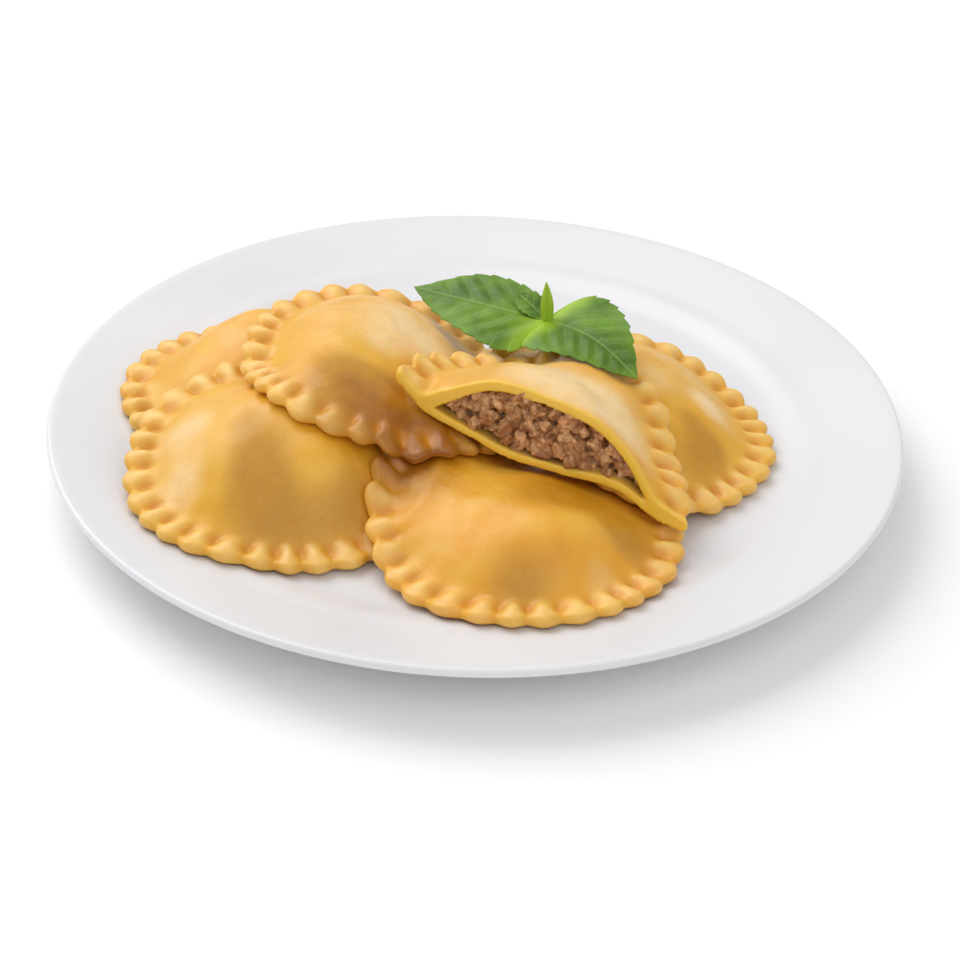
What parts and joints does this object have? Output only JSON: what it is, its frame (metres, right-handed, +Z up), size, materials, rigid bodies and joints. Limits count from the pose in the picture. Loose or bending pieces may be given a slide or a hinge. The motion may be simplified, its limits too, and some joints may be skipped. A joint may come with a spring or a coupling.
{
  "type": "plate of ravioli",
  "caption": "Round fluted ravioli heaped on a white plate, a halved one on top showing its minced filling, with a basil sprig.",
  "frame": {"origin": "middle of the plate's foot, on the surface it stands on", "axes": "+Z up out of the plate; -Y towards the cut ravioli's open side; +X to the right seen from there"},
  "size_m": [0.215, 0.215, 0.048],
  "materials": {
    "porcelain": "smooth white glaze",
    "pasta": "boiled egg pasta, golden, moist and softly glossy",
    "minced_meat": "brown cooked minced meat, coarse and moist",
    "basil": "fresh green leaf, puckered, slightly glossy"
  },
  "bodies": {
    "root": {"plate": "porcelain", "ravioli_back_left": "pasta", "ravioli_left": "pasta", "ravioli_front": "pasta", "ravioli_upper": "pasta", "ravioli_right": "pasta", "cut_ravioli_pasta": "pasta", "cut_ravioli_filling": "minced_meat", "basil_sprig": "basil"}
  },
  "joints": []
}
